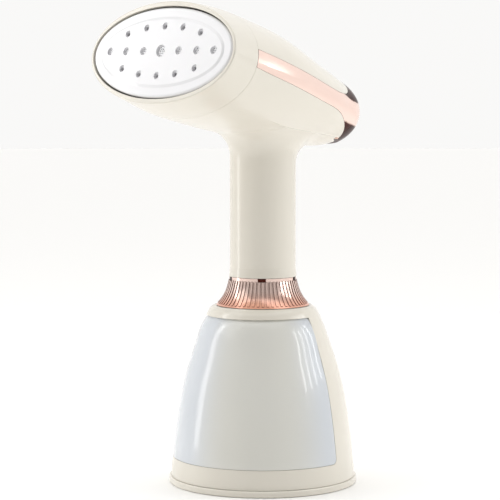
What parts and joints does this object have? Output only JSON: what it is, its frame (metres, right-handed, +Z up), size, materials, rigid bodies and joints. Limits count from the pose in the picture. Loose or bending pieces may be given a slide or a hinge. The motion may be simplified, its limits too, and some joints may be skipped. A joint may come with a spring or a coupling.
{
  "type": "garment steamer",
  "caption": "Handheld garment steamer standing on its bell-shaped water tank, with an oval steam plate, a ribbed lock collar and a metallic accent band.",
  "frame": {"origin": "centre of the foot pad's underside, on the axis of the tank and handle", "axes": "+Z up along the handle, -Y towards the steam plate's side, +X across the head"},
  "size_m": [0.1026, 0.1472, 0.2595],
  "materials": {
    "cream_plastic": "gloss moulded, warm ivory",
    "rose_gold": "rose-gold plated plastic, mirror",
    "plate_ceramic": "white ceramic-coated aluminium",
    "clear_tank": "frosted translucent",
    "dark_rubber": "satin silicone",
    "pale_rubber": "satin silicone",
    "cast_aluminium": "die cast",
    "steel": "bright zinc",
    "brass": "turned",
    "copper_winding": "enamelled copper wire",
    "black_plastic": "matte moulded",
    "white_plastic": "matte moulded",
    "board_green": "circuit board",
    "lens_amber": "translucent",
    "shield_fibre": "woven glass fibre"
  },
  "bodies": {
    "tank": {"tank_bottle": "clear_tank", "tank_cover": "cream_plastic", "tank_base": "cream_plastic", "foot_pad": "pale_rubber"},
    "handle": {"steam_plate": "plate_ceramic", "plate_gasket": "dark_rubber", "front_bezel": "cream_plastic", "top_shell": "cream_plastic", "accent_band": "rose_gold", "boiler": "cast_aluminium", "boiler_gasket": "pale_rubber", "heating_element": "steel", "water_nozzle": "brass", "boiler_bracket": "steel", "boiler_screws": "steel", "heat_shield": "shield_fibre", "thermostat": "cast_aluminium", "thermal_fuse": "white_plastic", "fuse_clamp": "steel", "body_shell": "cream_plastic", "back_cover": "cream_plastic", "trigger_pin": "steel", "micro_switch": "black_plastic", "indicator_lens": "lens_amber", "control_board": "board_green", "tact_switch": "black_plastic", "cord_gland": "dark_rubber", "pump_frame": "steel", "pump_coil": "copper_winding", "pump_cylinder": "brass", "upper_hose": "pale_rubber", "lower_hose": "pale_rubber", "coupling_spigot": "white_plastic", "spigot_screws": "steel", "mouth_seal": "pale_rubber", "suction_tube": "white_plastic", "suction_filter": "white_plastic"},
    "lock_collar": {"lock_collar": "rose_gold"},
    "steam_trigger": {"steam_trigger": "rose_gold", "trigger_spring": "steel"},
    "lock_slider": {"lock_slider": "cream_plastic"},
    "power_button": {"power_button": "cream_plastic"},
    "pump_plunger": {"pump_plunger": "steel", "pump_spring": "steel"}
  },
  "joints": [
    {"name": "handle_lift", "type": "slide", "parent": "tank", "child": "handle", "axis": [0, 0, 1], "range_m": [0, 0.098]},
    {"name": "collar_turn", "type": "hinge", "parent": "handle", "child": "lock_collar", "pos_m": [0, 0, 0.105], "axis": [0, 0, 1], "range_deg": [0, 50]},
    {"name": "trigger_press", "type": "hinge", "parent": "handle", "child": "steam_trigger", "pos_m": [0, 0.0132, 0.166], "axis": [-1, 0, 0], "range_deg": [0, 4], "stiffness_Nm_per_rad": 0.08, "springref_deg": -8.59},
    {"name": "slider_travel", "type": "slide", "parent": "handle", "child": "lock_slider", "axis": [0, 0, 1], "range_m": [0, 0.004]},
    {"name": "button_press", "type": "slide", "parent": "handle", "child": "power_button", "axis": [0, -1, 0], "range_m": [0, 0.001], "stiffness_N_per_m": 400, "springref_m": -0.001},
    {"name": "pump_stroke", "type": "slide", "parent": "handle", "child": "pump_plunger", "axis": [0, 0, -1], "range_m": [0, 0.0015], "stiffness_N_per_m": 200, "springref_m": -0.001, "deforming": ["pump_spring"]}
  ]
}
